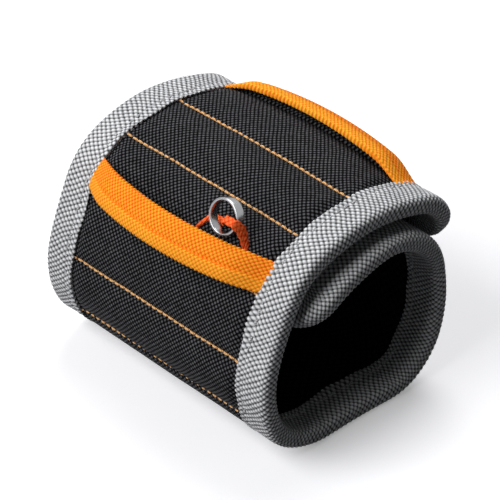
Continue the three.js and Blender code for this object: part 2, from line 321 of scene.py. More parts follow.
def add_object(name, points, faces, uv, looks, face_looks=None):
    """Puts arrays into a mesh object at the origin: one UV pair for each face corner, smooth shaded."""
    mesh = bpy.data.meshes.new(name)
    mesh.from_pydata(points, [], faces)
    layer = mesh.uv_layers.new(name="Weave")
    layer.data.foreach_set("uv", np.asarray(uv, np.float32).ravel())
    mesh.polygons.foreach_set("use_smooth", np.ones(len(mesh.polygons), bool))
    for look in looks:
        mesh.materials.append(look)
    if face_looks is not None:
        mesh.polygons.foreach_set("material_index", face_looks.astype(np.int32))
    mesh.validate()
    piece = bpy.data.objects.new(name, mesh)
    bpy.context.scene.collection.objects.link(piece)
    return piece


def loop_quads(rings, sides, closed=False):
    """Quads of a tube of rings, as vertex numbers for each face. In a closed tube the last ring meets the
    first one."""
    ring = np.arange(rings if closed else rings - 1)[:, None]
    here, ahead = ring * sides, (ring + 1) % rings * sides
    side = np.arange(sides)[None, :]
    beside = (side + 1) % sides
    return columns(here + side, here + beside, ahead + beside, ahead + side).reshape(-1, 4)


def walled_piece(name, outer, inner, uv, looks, inner_look=0):
    """Closed strip: rows of outer points, the inner wall's rows run back, and a cap at each end.
    uv holds a pair for each outer point; the inner wall takes the pairs of the points it lies under."""
    rows, reach = outer.shape[:2]
    back = inner.shape[1]
    sides = reach + back
    rings = np.concatenate([outer, inner[:, ::-1]], axis=1)
    under = np.linspace(reach - 1, 0, back).round().astype(int)
    ring_uv = np.concatenate([uv, uv[:, under]], axis=1).reshape(-1, 2)
    points = rings.reshape(-1, 3)
    quads = loop_quads(rows, sides)
    corner = points[quads]
    facing = np.cross(corner[:, 2] - corner[:, 0], corner[:, 3] - corner[:, 1])
    centre = rings[:-1].mean(axis=1).repeat(sides, axis=0)
    inside_out = np.sum(facing * (corner.mean(axis=1) - centre)) < 0
    first = np.arange(sides)[::-1]
    last = np.arange(sides) + (rows - 1) * sides
    if inside_out:
        quads, first, last = quads[:, ::-1], first[::-1], last[::-1]
    faces = quads.tolist() + [first.tolist(), last.tolist()]
    corner_uv = np.concatenate([ring_uv[quads.ravel()], ring_uv[first], ring_uv[last]])
    side = np.tile(np.arange(sides), rows - 1)
    face_looks = np.concatenate([np.where(side >= reach - 1, inner_look, 0), [0, 0]])
    return add_object(name, points, faces, corner_uv, looks, face_looks)


def thread_piece(name, centres, outward, radius, look):
    """Rows of stitches: each stitch is a tube of six-sided rings carried along its own short path and
    drawn in at both ends. centres and outward list arrays of the shape stitches x rings x 3."""
    centres, outward = np.concatenate(centres), np.concatenate(outward)
    stitches, rings = centres.shape[:2]
    sides, bluntness, tip = 6, 10, 0.1
    run = np.gradient(centres, axis=1)
    run = run / np.linalg.norm(run, axis=-1, keepdims=True)
    side = np.cross(run, outward)
    side = side / np.linalg.norm(side, axis=-1, keepdims=True)
    share = np.linspace(0, 1, rings)
    girth = radius * np.sqrt(np.clip(1 - (2 * share - 1) ** bluntness, tip, 1))
    angle = around(sides)
    ring = side[:, :, None] * np.cos(angle)[:, None] + outward[:, :, None] * np.sin(angle)[:, None]
    points = centres[:, :, None] + ring * girth[None, :, None, None]
    count = rings * sides
    first = np.arange(stitches)[:, None, None] * count
    quads = (loop_quads(rings, sides)[None, :, ::-1] + first).reshape(-1, 4)
    start = np.arange(sides)[None] + first[:, 0]
    end = (start + count - sides)[:, ::-1]
    faces = quads.tolist() + start.tolist() + end.tolist()
    uv = columns(share[None, :, None], angle[None, None, :])
    uv = np.broadcast_to(uv, (stitches, rings, sides, 2)).reshape(-1, 2)
    order = np.concatenate([quads.ravel(), start.ravel(), end.ravel()])
    return add_object(name, points.reshape(-1, 3), faces, uv[order], [look])


def stitch_arch(share, radius, sink):
    """Height of a stitch over its length: a parabola one thread radius high, sunk by a share of it."""
    return radius * (4 * share * (1 - share) - sink)


def bend_with(piece, section):
    """Bakes the piece's place into its mesh; the middle of the section's fold is worked out but not used.
    """
    middle = Vector(place(section.fold, 0, -BAND_THICKNESS / 2))
    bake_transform(piece)


def stand_for(piece, node, body):
    """Puts a piece in place of one solid: hides the solid and hangs the piece on the body it rides on."""
    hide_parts(node)
    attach(piece, body)


class Shading:
    """Nodes of one material, world or node group, made and linked as they are asked for."""

    def __init__(self, tree):
        self.tree = tree

    def feed(self, node, values):
        """Gives a node's inputs their values: links from other nodes, or plain numbers and colours."""
        for slot, value in values.items():
            if isinstance(value, bpy.types.NodeSocket):
                self.tree.links.new(value, node.inputs[slot])
            else:
                node.inputs[slot].default_value = value

    def node(self, kind, values=(), **settings):
        """New shader node with its settings and the values of its inputs."""
        made = self.tree.nodes.new(f"ShaderNode{kind}")
        for name, setting in settings.items():
            setattr(made, name, setting)
        self.feed(made, dict(values))
        return made

    def math(self, operation, *values):
        """Result of one operation on numbers or other results."""
        return self.node("Math", enumerate(values), operation=operation).outputs[0]

    def spread(self, value, low, high, start=0.0, end=1.0):
        """Value carried from the range start to end over to the range low to high."""
        return self.node("MapRange", enumerate((value, start, end, low, high))).outputs[0]

    def split(self, spot):
        """The three parts of a place."""
        return self.node("SeparateXYZ", {0: spot}).outputs

    def cloth_place(self):
        """Place on the piece's own map, which follows its surface."""
        return self.node("UVMap", uv_map="Weave").outputs[0]

    def object_place(self):
        """Place in the object's own space."""
        return self.node("TexCoord").outputs["Object"]

    def noise(self, scale, detail):
        """Noise over the object's own space."""
        values = {"Vector": self.object_place(), "Scale": scale, "Detail": detail}
        return self.node("TexNoise", values).outputs[0]

    def ramp(self, value, stops):
        """Colour ramp through the given stops of place and colour."""
        made = self.node("ValToRGB", {0: value})
        elements = made.color_ramp.elements
        while len(elements) < len(stops):
            elements.new(1.0)
        for element, (at, colour) in zip(elements, stops):
            element.position = at
            element.color = (*colour, 1.0)
        return made.outputs[0]

    def mix(self, kind, share, first, second):
        """Two colours mixed by a share, in the given kind of mix."""
        values = zip(MIX_INPUTS, (share, first, second))
        return self.node("Mix", values, data_type="RGBA", blend_type=kind).outputs[MIX_RESULT]

    def bump(self, height, strength, distance):
        """Normal of a fine relief."""
        values = {"Height": height, "Strength": strength, "Distance": distance}
        return self.node("Bump", values).outputs[0]

    def seen_directly(self):
        """Mask that is 1 for what the camera sees straight, in metal or through glass."""
        rays = self.node("LightPath").outputs
        seen = self.math("MAXIMUM", rays["Is Camera Ray"], rays["Is Glossy Ray"])
        return self.math("MAXIMUM", seen, rays["Is Transmission Ray"])


def new_look(name):
    """Empty material, with the maker of its nodes and its Principled shader."""
    look = bpy.data.materials.new(name)
    look.use_nodes = True
    return look, Shading(look.node_tree), look.node_tree.nodes["Principled BSDF"]


def weave_group():
    """Node group of the weave's grains: Height runs from 0 in the holes to 1 on the crowns, from the
    squared distance to the nearest crown of two lattices that stand one cell apart."""
    group = bpy.data.node_groups.new("Plain Weave", "ShaderNodeTree")
    pitches = ("Pitch Along", "Pitch Across")
    group.interface.new_socket(name="Place", in_out="INPUT", socket_type="NodeSocketVector")
    for pitch in pitches:
        group.interface.new_socket(name=pitch, in_out="INPUT", socket_type="NodeSocketFloat")
    group.interface.new_socket(name="Height", in_out="OUTPUT", socket_type="NodeSocketFloat")
    shading = Shading(group)
    given = group.nodes.new("NodeGroupInput").outputs
    result = group.nodes.new("NodeGroupOutput")
    even = []
    odd = []
    for spot, pitch in zip(shading.split(given["Place"]), pitches):
        away = shading.math("PINGPONG", shading.math("DIVIDE", spot, given[pitch]), 1.0)
        even.append(shading.math("POWER", away, 2.0))
        odd.append(shading.math("POWER", shading.math("SUBTRACT", 1.0, away), 2.0))
    nearest = shading.math("MINIMUM", shading.math("ADD", *even), shading.math("ADD", *odd))
    shading.feed(result, {"Height": shading.math("SUBTRACT", 1.0, nearest)})
    return group


def woven_look(name, pitch, stops, roughness, sheen, depth):
    """Cloth in plain weave: colour, roughness and bump all follow the same threads. The colour ramp runs
    from the holes to the crowns, which paints shade into the holes and highlights onto the crowns. A fine
    noise makes the threads uneven and a slow one the colour patchy. The sheen is one level for the whole
    cloth."""
    fray_share, patchy_share, bump_strength = 0.35, 0.25, 0.9
    look, shading, shader = new_look(name)
    group = bpy.data.node_groups.get("Plain Weave") or weave_group()
    cloth = {"Place": shading.cloth_place(), "Pitch Along": pitch[0], "Pitch Across": pitch[1]}
    height = shading.node("Group", cloth, node_tree=group).outputs["Height"]
    fray = shading.math("SUBTRACT", shading.noise(scale=900.0, detail=3.0), 0.5)
    threads = shading.math("ADD", height, shading.math("MULTIPLY", fray, fray_share))
    patchy = shading.noise(scale=70.0, detail=4.0)
    shading.feed(shader, {
        "Base Color": shading.mix("OVERLAY", patchy_share, shading.ramp(threads, stops), patchy),
        "Roughness": shading.spread(height, *roughness),
        "Specular IOR Level": sheen,
        "Normal": shading.bump(threads, bump_strength, depth),
    })
    return look


def shades(base, *stops):
    """Ramp stops that darken or lighten a base colour."""
    return [(at, [min(1.0, c * level) for c in base]) for at, level in stops]


def greys(*stops):
    """Ramp stops of plain greys with a trace of blue."""
    return shades((1.0, 1.0, 1.04), *stops)


def nylon_look(colours):
    """Cover cloth: near black threads, with painted shade in the holes and a painted highlight on the
    crowns.
    """
    # Painted shade: the holes fall to a fiftieth of the cover colour; painted highlight: the crowns rise to
    # five times it
    stops = shades(colours.cover, (0.45, 0.02), (0.72, 0.5), (1.0, 5.0))
    return woven_look("Black Nylon", pitch=(0.00076, 0.00076), stops=stops, roughness=(0.95, 0.5),
                      sheen=0.02, depth=0.00018)


def tape_look(colours):
    """Coarse grey tape, on the same grains as its relief, with painted shade in the holes and a painted
    highlight on the crowns.
    """
    # Painted shade darkens the holes and a painted highlight lightens the crowns of the grey
    stops = shades(colours.tape, (0.3, 0.12), (0.62, 0.70), (1.0, 1.70))
    return woven_look("Grey Edge Tape", pitch=TAPE_PITCH, stops=stops, roughness=(0.95, 0.6),
                      sheen=0.02, depth=0.0003)


def webbing_look(colours):
    """Orange webbing: painted shade makes it redder in the holes, a painted highlight yellower on the
    crowns, and a painted highlight paler over its hem.
    """
    red, green, blue = colours.webbing
    # Painted shade: deeper red in the holes; painted highlight: yellower on the crowns
    stops = [
        (0.3, (red * 0.85, green * 0.38, blue * 0.3)),
        (0.65, (red, green, blue)),
        (1.0, (1.0, green * 1.7, blue * 3.0)),
    ]
    look = woven_look("Orange Webbing", pitch=WEBBING_PITCH, stops=stops, roughness=(0.9, 0.55),
                      sheen=0.04, depth=0.0002)
    paint_hem_highlight(look)
    return look


def paint_hem_highlight(look):
    """Screens a painted highlight over the cloth below its hem, by the place across the strip."""
    hem_highlight_share = 0.7
    shading = Shading(look.node_tree)
    shader = look.node_tree.nodes["Principled BSDF"]
    across = shading.split(shading.cloth_place())[0]
    # Mask of the painted highlight: the part of the strip below its hem
    highlight_below_hem = shading.spread(across, 0.0, hem_highlight_share, HEM_PLACE - HEM_STEP, HEM_PLACE + HEM_STEP)
    cloth = shader.inputs["Base Color"].links[0].from_socket
    shading.feed(shader, {"Base Color": shading.mix("SCREEN", highlight_below_hem, cloth, (*HEM_PAINTED_HIGHLIGHT, 1.0))})


def braid_look(colours):
    """Red orange braid of the keeper, with painted shade in the holes and a yellower painted highlight on
    the crowns.
    """
    red, green, blue = colours.keeper
    # Painted shade in the holes and a painted highlight on the crowns of the red orange
    stops = [
        (0.1, (red * 0.6, green * 0.6, blue * 0.6)),
        (0.6, (red, green, blue)),
        (0.95, (1.0, green * 2.2, blue * 3.0)),
    ]
    return woven_look("Orange Braid", pitch=(0.0008, 0.0008), stops=stops, roughness=(0.85, 0.5),
                      sheen=0.06, depth=0.00015)


def lining_look(colours):
    """Dull black cloth on the wrist side."""
    stops = shades(colours.lining, (0.3, 0.2), (0.9, 2.2))
    return woven_look("Black Lining", pitch=(0.0016, 0.0012), stops=stops, roughness=(0.95, 0.85),
                      sheen=0.0, depth=0.0002)


def thread_look(name, colour):
    """Twisted sewing thread: diagonal bands of painted shade and painted highlight along each stitch, from
    the stitch's own map.
    """
    twist_rate, painted_shade_share, painted_highlight_share, painted_highlight_lift = 26.0, 0.55, 1.3, 0.1
    look, shading, shader = new_look(name)
    length, turn = shading.split(shading.cloth_place())[:2]
    lengthwise = shading.math("MULTIPLY", length, twist_rate)
    twist = shading.math("SINE", shading.math("ADD", lengthwise, turn))
    share = shading.math("ADD", shading.math("MULTIPLY", twist, 0.5), 0.5)
    # Painted shade in the grooves between the strands and a painted highlight on the strands
    dark = [c * painted_shade_share for c in colour]
    light = [min(1.0, c * painted_highlight_share + painted_highlight_lift) for c in colour]
    shading.feed(shader, {
        "Base Color": shading.ramp(share, [(0.1, dark), (0.8, light)]),
        "Roughness": 0.55,
        "Normal": shading.bump(twist, strength=0.5, distance=0.00008),
    })
    return look


def steel_look(name, colour, scale):
    """Bright plated metal: finger smears vary its colour and roughness."""
    look, shading, shader = new_look(name)
    smear = shading.noise(scale, detail=6.0)
    shading.feed(shader, {
        "Base Color": shading.ramp(smear, shades(colour, (0.3, 0.82), (0.7, 1.0))),
        "Metallic": 1.0,
        "Roughness": shading.spread(smear, low=0.1, high=0.3),
        "Normal": shading.bump(smear, strength=0.15, distance=0.00005),
    })
    return look


def pile_look(name, scale, dark, light, depth):
    """Hook or loop pile: small round cells that rise from a dark ground."""
    look, shading, shader = new_look(name)
    cells = shading.node("TexVoronoi", {"Vector": shading.object_place(), "Scale": scale})
    height = shading.math("SUBTRACT", 1.0, cells.outputs["Distance"])
    shading.feed(shader, {
        "Base Color": shading.ramp(height, greys((0.3, dark), (0.9, light))),
        "Roughness": 0.8,
        "Normal": shading.bump(height, strength=0.9, distance=depth),
    })
    return look


def length_property(name, description, default):
    """Length in metres that a user can set."""
    return bpy.props.FloatProperty(name=name, description=description, default=default, unit="LENGTH")


def colour_property(name, description, default):
    """Colour that a user can set."""
    return bpy.props.FloatVectorProperty(
        name=name, description=description, default=default, subtype="COLOR", size=3, min=0, max=1)


class WristbandSizes(bpy.types.PropertyGroup):
    """Sizes of the sewn pieces and the ring"""

    tape_width: length_property("Tape Width", "Width of the edge tape on each face", 0.0115)
    tape_fold: length_property("Tape Fold", "Radius of the fold of the edge tape", 0.0019)
    stitch_dip: length_property("Stitch Dip", "How far a sewn line pulls the cover in", 0.0010)
    pocket_crown: length_property("Pocket Crown", "How far a pocket swells between sewn lines", 0.0005)
    webbing_width: length_property("Webbing Width", "Width of the webbing loops", 0.0088)
    thread_radius: length_property("Thread Radius", "Radius of the sewing thread", 0.00034)
    ring_diameter: length_property("Ring Diameter", "Outer diameter of the steel ring", 0.0105)
    ring_depth: length_property("Ring Depth", "Depth of the ring's strip", 0.003)
    ring_wall: length_property("Ring Wall", "Thickness of the ring's strip", 0.0008)


class WristbandColours(bpy.types.PropertyGroup):
    """Base colours of the cloths, the thread and the metals"""

    cover: colour_property("Cover", "Black nylon of the cover", (0.023, 0.023, 0.025))
    tape: colour_property("Edge Tape", "Grey of the edge tape", (0.50, 0.505, 0.52))
    webbing: colour_property("Webbing", "Orange of the webbing loops", (0.98, 0.245, 0.012))
    keeper: colour_property("Keeper", "Red orange of the ring's keeper", (0.97, 0.10, 0.02))
    thread: colour_property("Thread", "Pale orange of the sewing thread", (1.0, 0.40, 0.12))
    lining: colour_property("Lining", "Black of the lining", (0.008, 0.008, 0.009))
    steel: colour_property("Steel", "Plating of the ring", (0.33, 0.335, 0.345))
    magnet: colour_property("Magnet", "Nickel plating of the magnets", (0.62, 0.61, 0.58))


def free_length(section, along):
    """Length from places to the section's free end, or the whole band's length where it has none."""
    lengths = {"flap": along, "back": BAND_LENGTH - along}
    return lengths.get(section.name, np.full_like(along, BAND_LENGTH))


def half_width(section, along):
    """Half width of the layers, with a quarter circle at the corners of a free end."""
    radius = END_CORNER - SANDWICH_INSET
    full = BAND_WIDTH / 2 - SANDWICH_INSET
    inside = np.clip(radius - (free_length(section, along) - SANDWICH_INSET), 0, radius)
    return full - radius + np.sqrt(radius ** 2 - inside ** 2)


def cover_half(sizes):
    """Half width of the cover that shows between the edge tapes."""
    return BAND_WIDTH / 2 - sizes.tape_width


def quilt(along, across, dip, crown):
    """Swell of the cover: it is sewn down at each line and rises as a blunt half wave between lines, with
    a sharp crease and short puckers close to the thread."""
    bluntness = 0.8
    crease_share, crease_spread = 0.4, 0.0010
    pucker_height, pucker_fade, pucker_rate, seam_reach = 0.00026, 0.0028, 1.6, 0.008
    phase = (along - SEWN_LINES[0]) / POCKET_PITCH
    inside = (along > SEWN_LINES[0]) & (along < SEWN_LINES[-1])
    pillow = -dip + (dip + crown) * np.abs(np.sin(np.pi * phase)) ** bluntness
    nearest = np.clip(np.round(phase), 0, POCKETS) * POCKET_PITCH + SEWN_LINES[0]
    away = np.abs(along - nearest)
    crease = -crease_share * dip * bell(away, crease_spread)
    waves = ripple(across * pucker_rate, seed=1.0 + np.round(phase))
    pucker = pucker_height * np.exp(-away / pucker_fade) * waves
    return np.where(inside, pillow, 0) + np.where(away < seam_reach, crease + pucker, 0)


def dome(along, across, sizes):
    """Crown of the flap's cover across the band: a blunt parabola over the width, highest under the top
    webbing loop and fading out along a bell curve."""
    loop_rise, loop_spread, top_rise, bluntness = 0.0025, 0.011, 0.0007, 0.75
    top_start, top_full, top_fade, top_end = 0.012, 0.024, 0.060, 0.105
    rise = np.clip(1 - (across / cover_half(sizes)) ** 2, 0, 1) ** bluntness
    on_top = smooth(along, top_start, top_full) * smooth(-along, -top_end, -top_fade)
    return rise * (loop_rise * bell(along - TOP_LOOP, loop_spread) + top_rise * on_top)


def panel(section, sizes, looks):
    """Quilted pad of one section: the cover's grid above, the lining's grid below. Both rise from the
    edge that the tape holds to the full swell over a short ramp."""
    grid_step, grid_share = 0.0008, 0.018
    ramp_under, ramp_side, ramp_end = 0.0003, 0.003, 0.0028
    slack_height, slack_rate, cloth_drift = 0.00022, 0.7, 0.0002
    start = max(section.start, SANDWICH_INSET)
    end = min(section.end, BAND_LENGTH - SANDWICH_INSET)
    along = steps(start, end, grid_step)[:, None]
    edge = half_width(section, along)
    across = steps(-1, 1, grid_share)[None, :] * edge
    tape_edge = sizes.tape_width - SANDWICH_INSET
    swell = smooth(edge - np.abs(across), tape_edge - ramp_under, tape_edge + ramp_side)
    free = free_length(section, along)
    swell = swell * smooth(free, sizes.tape_width, sizes.tape_width + ramp_end)
    swelling = quilt(along, across, sizes.stitch_dip, sizes.pocket_crown)
    slack = slack_height * ripple(along, seed=3.0) * ripple(across * slack_rate, seed=5.0)
    lift = -EDGE_PINCH + swell * (EDGE_PINCH + swelling + slack)
    outer = place(along, across, lift + dome(along, across, sizes))
    inner = place(along, across, -BAND_THICKNESS - lift)
    uv = uneven_cloth(along, across, cloth_drift)
    piece = walled_piece(f"panel_{section.name}", outer, inner, uv, looks, inner_look=1)
    for body in section.parts:
        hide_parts(f"{body}_cover", f"{body}_padding", f"{body}_lining")
    bend_with(piece, section)


def arc(centre, radius, start, end, count):
    """Points on a circle's arc between two angles in degrees."""
    angle = np.radians(np.linspace(start, end, count))
    return columns(centre[0] + radius * np.cos(angle), centre[1] + radius * np.sin(angle))


def tape_outline(sizes):
    """Outer face of the folded tape in inset and height: border, outer leg, fold, inner leg, border."""
    width, fold = sizes.tape_width, sizes.tape_fold
    tuck_in, tuck_down = 0.0001, 0.0010
    lip_points, fold_points = 4, 10
    outline = [
        [[width - tuck_in, TAPE_TOP - tuck_down]],
        arc((width - TAPE_LIP, TAPE_TOP - TAPE_LIP), TAPE_LIP, 0, 90, lip_points),
        arc((fold, TAPE_TOP - fold), fold, 90, 180, fold_points),
        arc((fold, TAPE_BOTTOM + fold), fold, 180, 270, fold_points),
        arc((width - TAPE_LIP, TAPE_BOTTOM + TAPE_LIP), TAPE_LIP, 270, 360, lip_points),
        [[width - tuck_in, TAPE_BOTTOM + tuck_down]],
    ]
    return np.concatenate(outline)


def side_edge(side, along):
    """Straight edge at one side: place along and across, and the way inwards in the band's plane."""
    return columns(along, side * BAND_WIDTH / 2, 0.0, -side)


def corner_edge(centre_along, centre_across, first, last):
    """Quarter circle of the edge round a free end's corner, between two angles in degrees."""
    angle = np.radians(steps(first, last, math.degrees(TAPE_STEP / END_CORNER)))
    along = centre_along + END_CORNER * np.cos(angle)
    across = centre_across + END_CORNER * np.sin(angle)
    return columns(along, across, -np.cos(angle), -np.sin(angle))


def u_edge(section):
    """Edge that runs in along one side, round a corner, straight over a free end, round the other corner
    and out along the other side."""
    half = BAND_WIDTH / 2 - END_CORNER
    if section.name == "flap":
        outer, tip, inward = section.end, 0.0, 1
    else:
        outer, tip, inward = section.start, BAND_LENGTH, -1
    centre = tip + inward * END_CORNER
    down = steps(outer, centre, TAPE_STEP)
    side, middle, far_side = 90, 90 + 90 * inward, 90 + 180 * inward
    return np.concatenate([
        side_edge(1, down)[:-1],
        corner_edge(centre, half, side, middle),
        columns(tip, steps(half, -half, TAPE_STEP)[1:-1], inward, 0.0),
        corner_edge(centre, -half, middle, far_side),
        side_edge(-1, down[::-1])[1:],
    ])


def edge_places(section):
    """Edges of a section by name: one round a free end, or one at each side."""
    if section.end_tape:
        return {"end": u_edge(section)}
    along = steps(section.start, section.end, TAPE_STEP)
    return {"near": side_edge(1, along), "far": side_edge(-1, along)}


def from_edge(edge, inset):
    """Flat place along and across at an inset from places on the edge."""
    return edge[..., 0] + inset * edge[..., 2], edge[..., 1] + inset * edge[..., 3]


def selvedge_rows(at):
    """Rows of grains across the tape: one row is stretched over the selvedge at each border, and the rows
    between keep their pitch."""
    last = at[-1]
    row = TAPE_PITCH[1]
    end = row / 2 + last - 2 * SELVEDGE
    knots = [0.0, SELVEDGE, last - SELVEDGE, last]
    return np.interp(at, knots, [-row / 2, row / 2, end, end + row])


def whole_rows(length):
    """Length along the tape, scaled a little so that a whole number of grain pairs fits the piece and the
    weave runs on over a join."""
    pair = 2 * TAPE_PITCH[0]
    return length * np.round(length[-1] / pair) * pair / length[-1]


def edge_spot(edge):
    """One number for each place on the edge, the same on both sides of a join, that feeds slow waves."""
    return edge[..., 0] + 0.9 * edge[..., 1]


def tape_sway(spot):
    """How far the folded tape stands in from the band's edge: a slow ripple along the edge."""
    return TAPE_SWAY * ripple(SWAY_RATE * spot, seed=9.0)


def outline_normal(outline):
    """Unit vector out of the tape's face at each point of its outline, square to the outline there."""
    run = np.gradient(outline, axis=0)
    run = run / np.linalg.norm(run, axis=1, keepdims=True)
    normal = columns(run[:, 1], -run[:, 0])
    upper_leg = len(normal) // 4
    return normal * np.sign(normal[upper_leg, 1])


def tape_piece(section, name, edge, sizes, look):
    """Folded edge tape: its outline is carried along the edge and sways slowly in and out. The face rises
    with the threads of the weave, sinks at the seam and wavers a little at its border."""
    cloth_drift, fold_reach, leg_middle, slack_rate = 0.00045, 0.004, 0.006, 1.7
    length = run_length(tape_outline(sizes))
    at = steps(0, length[-1], TAPE_STEP)
    outline = points_at(tape_outline(sizes), length, at)
    normal = outline_normal(outline)
    rows = whole_rows(run_length(edge[:, :2]))[:, None]
    edge = edge[:, None]
    spot = edge_spot(edge)
    inset, height = outline[None, :, 0], outline[None, :, 1]
    uv = uneven_cloth(rows, selvedge_rows(at)[None, :], cloth_drift, spot)
    threads = TAPE_GRAIN * weave(uv[..., 0], uv[..., 1], *TAPE_PITCH)
    seam = -SEAM_FURROW * bell(inset - SEAM_INSET, FURROW_SPREAD)
    slack = TAPE_SLACK * ripple(slack_rate * spot + inset, seed=2.0) * smooth(inset, 0.0, fold_reach)
    rim = SELVEDGE_RISE * bell(inset - sizes.tape_width + SELVEDGE / 2, FURROW_SPREAD)
    lift = np.clip(threads + seam + slack + rim - TAPE_SINK, TAPE_DEEPEST, 0.0)
    waver = TAPE_WAVER * ripple(spot, seed=7.0) * smooth(inset, SEAM_INSET, sizes.tape_width)
    sway = tape_sway(spot)
    inset = inset + waver + sway + lift * normal[None, :, 0]
    outer = place(*from_edge(edge, inset), height + lift * normal[None, :, 1])
    leg = [sizes.tape_width - TAPE_LIP, leg_middle, TAPE_WALL]
    inner_inset = np.array(leg + leg[::-1])[None, :] + sway
    inner_height = np.repeat([TAPE_TOP - TAPE_WALL, TAPE_BOTTOM + TAPE_WALL], len(leg))[None, :]
    inner = place(*from_edge(edge, inner_inset), inner_height)
    return walled_piece(f"tape_{section.name}_{name}", outer, inner, uv, [look])


def tapes(section, sizes, look):
    """Edge tapes of one section, each in place of the solids it stands for."""
    for name, edge in edge_places(section).items():
        piece = tape_piece(section, name, edge, sizes, look)
        if section.end_tape:
            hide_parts(section.end_tape)
        else:
            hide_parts(*(f"{body}_tape_{name}" for body in section.parts))
        bend_with(piece, section)


def tape_seam(section, sizes, look):
    """Stitches that sew the tape down: short arched threads in a row on both of its legs."""
    pitch, stitch, first_stitch = 0.0030, 0.0023, 0.0004
    rings, sink, finer = 7, 0.9, 0.75
    share = np.linspace(0, 1, rings)
    arch = stitch_arch(share, sizes.thread_radius, sink)[None, :] - SEAM_DEPTH
    for name, edge in edge_places(section).items():
        length = run_length(edge[:, :2])
        starts = np.arange(first_stitch, length[-1] - stitch, pitch)
        spot = points_at(edge, length, starts[:, None] + stitch * share[None, :])
        along, across = from_edge(spot, SEAM_INSET + tape_sway(edge_spot(spot)))
        centres = []
        outward = []
        for level, way in ((TAPE_TOP, 1), (TAPE_BOTTOM, -1)):
            centres.append(place(along, across, level + way * arch))
            outward.append(way * face_normal(along))
        radius = sizes.thread_radius * finer
        piece = thread_piece(f"tape_seam_{section.name}_{name}", centres, outward, radius, look)
        bend_with(piece, section)


def cross_seam(section, sizes, look):
    """Stitches of the sewn lines that cross the band inside a section. They lie in the crease, rise to the
    tape at both ends and wander a little to each side."""
    pitch, stitch = 0.0022, 0.0021
    rings, sink = 8, 0.4
    under_tape, end_ramp = 0.001, 0.002
    crease_depth, wander_reach, wander_rate = 1.15 * sizes.stitch_dip, 0.00012, 2
    lines = [line for line in (TOP_LOOP, *SEWN_LINES[1:]) if section.start < line < section.end]
    if not lines:
        return
    reach = cover_half(sizes)
    share = np.linspace(0, 1, rings)
    starts = np.arange(-reach - under_tape, reach, pitch)
    across = starts[:, None] + stitch * share[None, :]
    ends = smooth(reach - np.abs(across), -under_tape, end_ramp)
    height = -crease_depth * ends - EDGE_PINCH * (1 - ends)
    height = height + stitch_arch(share, sizes.thread_radius, sink)[None, :]
    centres = []
    outward = []
    for line in lines:
        wander = wander_reach * ripple(across * wander_rate, seed=line * 1000)
        centres.append(place(line + wander, across, height + dome(line, across, sizes)))
        outward.append(face_normal(np.full_like(across, line)))
    piece = thread_piece(f"seam_{section.name}", centres, outward, sizes.thread_radius, look)
    bend_with(piece, section)


def webbing_loop(name, node, body, centre, bow, sag, sizes, look):
    """Webbing loop sewn in at both ends: it bows off the cover as a parabola, sags along the band and is
    a little narrower in the middle. Its edges swell at each thread, a hem with a crease above it thickens
    its lower part, and both faces carry the weave."""
    grid_step, grid_share, cloth_drift = 0.00028, 0.052, 0.00015
    end_width, middle_loss, sag_bluntness, edge_squareness = 1.05, 0.09, 0.8, 8
    free_rise, sewn_flat = 0.55, 0.45
    reach = cover_half(sizes) + WEBBING_SEWN_IN
    across = steps(-reach, reach, grid_step)[:, None]
    share = steps(-1, 1, grid_share)[None, :]
    rise = 1 - (across / reach) ** 2
    half = sizes.webbing_width / 2 * (end_width - middle_loss * rise)
    half = half + EDGE_LOOP * (np.abs(np.sin(np.pi * across / (2 * WEBBING_PITCH[1]))) - 0.5)
    offset = share * half
    along = centre + sag * rise ** sag_bluntness + offset
    crown = WEBBING_CROWN * (1 - share ** 2)
    hem = HEM_RISE * smooth(offset, HEM_PLACE - HEM_STEP, HEM_PLACE + HEM_STEP)
    hem = hem - HEM_CREASE * bell(offset - HEM_PLACE + HEM_CREASE_SPREAD, HEM_CREASE_SPREAD)
    free = smooth(rise, 0.0, free_rise)
    foot = -WEBBING_SUNK + (sizes.pocket_crown + WEBBING_CLEAR) * free
    half_thick = WEBBING_THICKNESS / 2 * (sewn_flat + (1 - sewn_flat) * free)
    middle = foot + bow * rise + crown * free + half_thick
    rounded = half_thick * np.sqrt(np.clip(1 - share ** edge_squareness, 0, 1))
    uv = uneven_cloth(offset, across, cloth_drift)
    threads = WEBBING_GRAIN * weave(uv[..., 0], uv[..., 1], *WEBBING_PITCH)
    outer = place(along, across, middle + rounded + threads + hem * free)
    inner = place(along, across, middle - rounded - threads)
    piece = walled_piece(name, outer, inner, uv, [look])
    stand_for(piece, node, body)


def ring_height(sizes):
    """Height of the ring's middle, with its lower rim just clear of the cover."""
    lean = sizes.ring_diameter / 2 * math.sin(RING_TILT) + sizes.ring_depth / 2 * math.cos(RING_TILT)
    return RING_CLEAR + lean


def squarer(wave):
    """Wave between -1 and 1 raised to a low power, so that a circle becomes a rounded oblong."""
    squareness = 0.35
    return np.sign(wave) * np.abs(wave) ** squareness


def ring_piece(sizes, look):
    """Short ring of flat strip: a rounded oblong profile turned about the leaning axis."""
    profile_points, turn_points = 24, 96
    turn = around(profile_points)[None, :, None]
    angle = around(turn_points)[:, None, None]
    half_wall = sizes.ring_wall / 2
    radius = sizes.ring_diameter / 2 - half_wall + half_wall * squarer(np.cos(turn))
    depth = sizes.ring_depth / 2 * squarer(np.sin(turn))
    heading = float(path(RING_ALONG)[2]) + RING_TILT
    axis = np.array([0, math.sin(heading), -math.cos(heading)])
    side = np.array([1.0, 0, 0])
    spoke = np.cos(angle) * side + np.sin(angle) * np.cross(axis, side)
    centre = place(RING_ALONG, RING_ACROSS, ring_height(sizes))
    points = (centre + radius * spoke + depth * axis).reshape(-1, 3)
    turned_outwards = (0, 3, 2, 1)
    quads = loop_quads(turn_points, profile_points, closed=True)[:, turned_outwards]
    uv = columns(angle, turn).reshape(-1, 2) / (2 * np.pi)
    piece = add_object("steel_ring", points, quads.tolist(), uv[quads.ravel()], [look])
    stand_for(piece, "ring", "ring")


